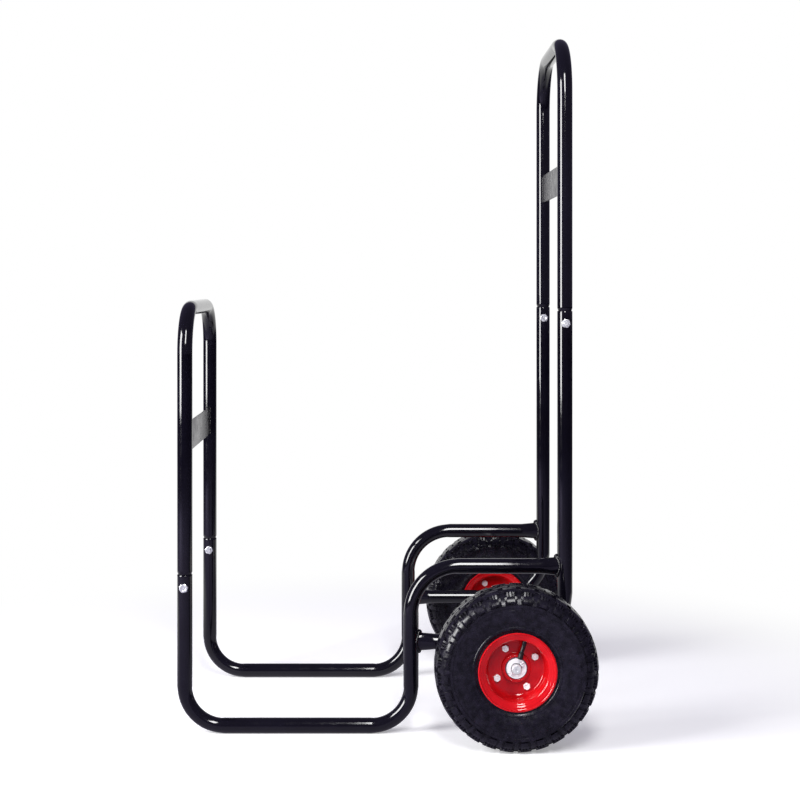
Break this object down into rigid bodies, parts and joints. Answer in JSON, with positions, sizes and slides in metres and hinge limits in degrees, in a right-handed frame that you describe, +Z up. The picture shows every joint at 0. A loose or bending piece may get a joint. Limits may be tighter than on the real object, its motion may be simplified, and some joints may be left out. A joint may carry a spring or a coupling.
{
  "type": "firewood rack",
  "caption": "Tubular steel firewood rack with a low bow, a tall push-handle bow, a stepped floor frame and pneumatic wheels that let it roll as a cart.",
  "frame": {"origin": "on the floor, at the middle of the footprint, which runs from the front bow to the back of the tyres", "axes": "+Z up, +X from the low front bow towards the push handle, +Y towards the right-hand wheel of the person who pushes; the left wheel is on -Y"},
  "size_m": [0.68, 0.584, 1.155],
  "materials": {
    "frame_paint": "gloss black stoved paint over welded steel tube",
    "rim_enamel": "gloss red enamel on pressed steel",
    "zinc_plate": "bright zinc-plated fasteners",
    "axle_steel": "drawn steel bar, thinly zinc-plated",
    "bearing_steel": "ground bearing steel with pressed shields",
    "tyre_rubber": "moulded black tyre rubber, satin",
    "valve_rubber": "smooth black rubber",
    "cap_plastic": "moulded black plastic"
  },
  "bodies": {
    "frame": {"left_deck_tube": "frame_paint", "right_deck_tube": "frame_paint", "left_rear_tube": "frame_paint", "right_rear_tube": "frame_paint", "front_bow": "frame_paint", "handle_bow": "frame_paint", "front_plate": "frame_paint", "handle_plate": "frame_paint", "left_frame_welds": "frame_paint", "right_frame_welds": "frame_paint", "axle_welds": "frame_paint", "plate_welds": "frame_paint", "front_joint_bolts": "zinc_plate", "front_joint_nuts": "zinc_plate", "handle_joint_bolts": "zinc_plate", "handle_joint_nuts": "zinc_plate", "axle": "axle_steel", "left_spacer": "axle_steel", "right_spacer": "axle_steel", "left_inner_washer": "zinc_plate", "right_inner_washer": "zinc_plate", "left_outer_washer": "zinc_plate", "right_outer_washer": "zinc_plate", "left_cotter_pin": "zinc_plate", "right_cotter_pin": "zinc_plate"},
    "left_wheel": {"left_tyre": "tyre_rubber", "left_inner_tube": "valve_rubber", "left_outer_rim": "rim_enamel", "left_inner_rim": "rim_enamel", "left_hub": "rim_enamel", "left_outer_bearing": "bearing_steel", "left_inner_bearing": "bearing_steel", "left_rim_bolts": "zinc_plate", "left_rim_nuts": "zinc_plate", "left_valve_stem": "valve_rubber", "left_valve_cap": "cap_plastic"},
    "right_wheel": {"right_tyre": "tyre_rubber", "right_inner_tube": "valve_rubber", "right_outer_rim": "rim_enamel", "right_inner_rim": "rim_enamel", "right_hub": "rim_enamel", "right_outer_bearing": "bearing_steel", "right_inner_bearing": "bearing_steel", "right_rim_bolts": "zinc_plate", "right_rim_nuts": "zinc_plate", "right_valve_stem": "valve_rubber", "right_valve_cap": "cap_plastic"}
  },
  "joints": [
    {"name": "left_wheel_spin", "type": "hinge", "parent": "frame", "child": "left_wheel", "pos_m": [0.21, -0.25, 0.13], "axis": [0, 1, 0], "continuous": true},
    {"name": "right_wheel_spin", "type": "hinge", "parent": "frame", "child": "right_wheel", "pos_m": [0.21, 0.25, 0.13], "axis": [0, 1, 0], "continuous": true}
  ]
}
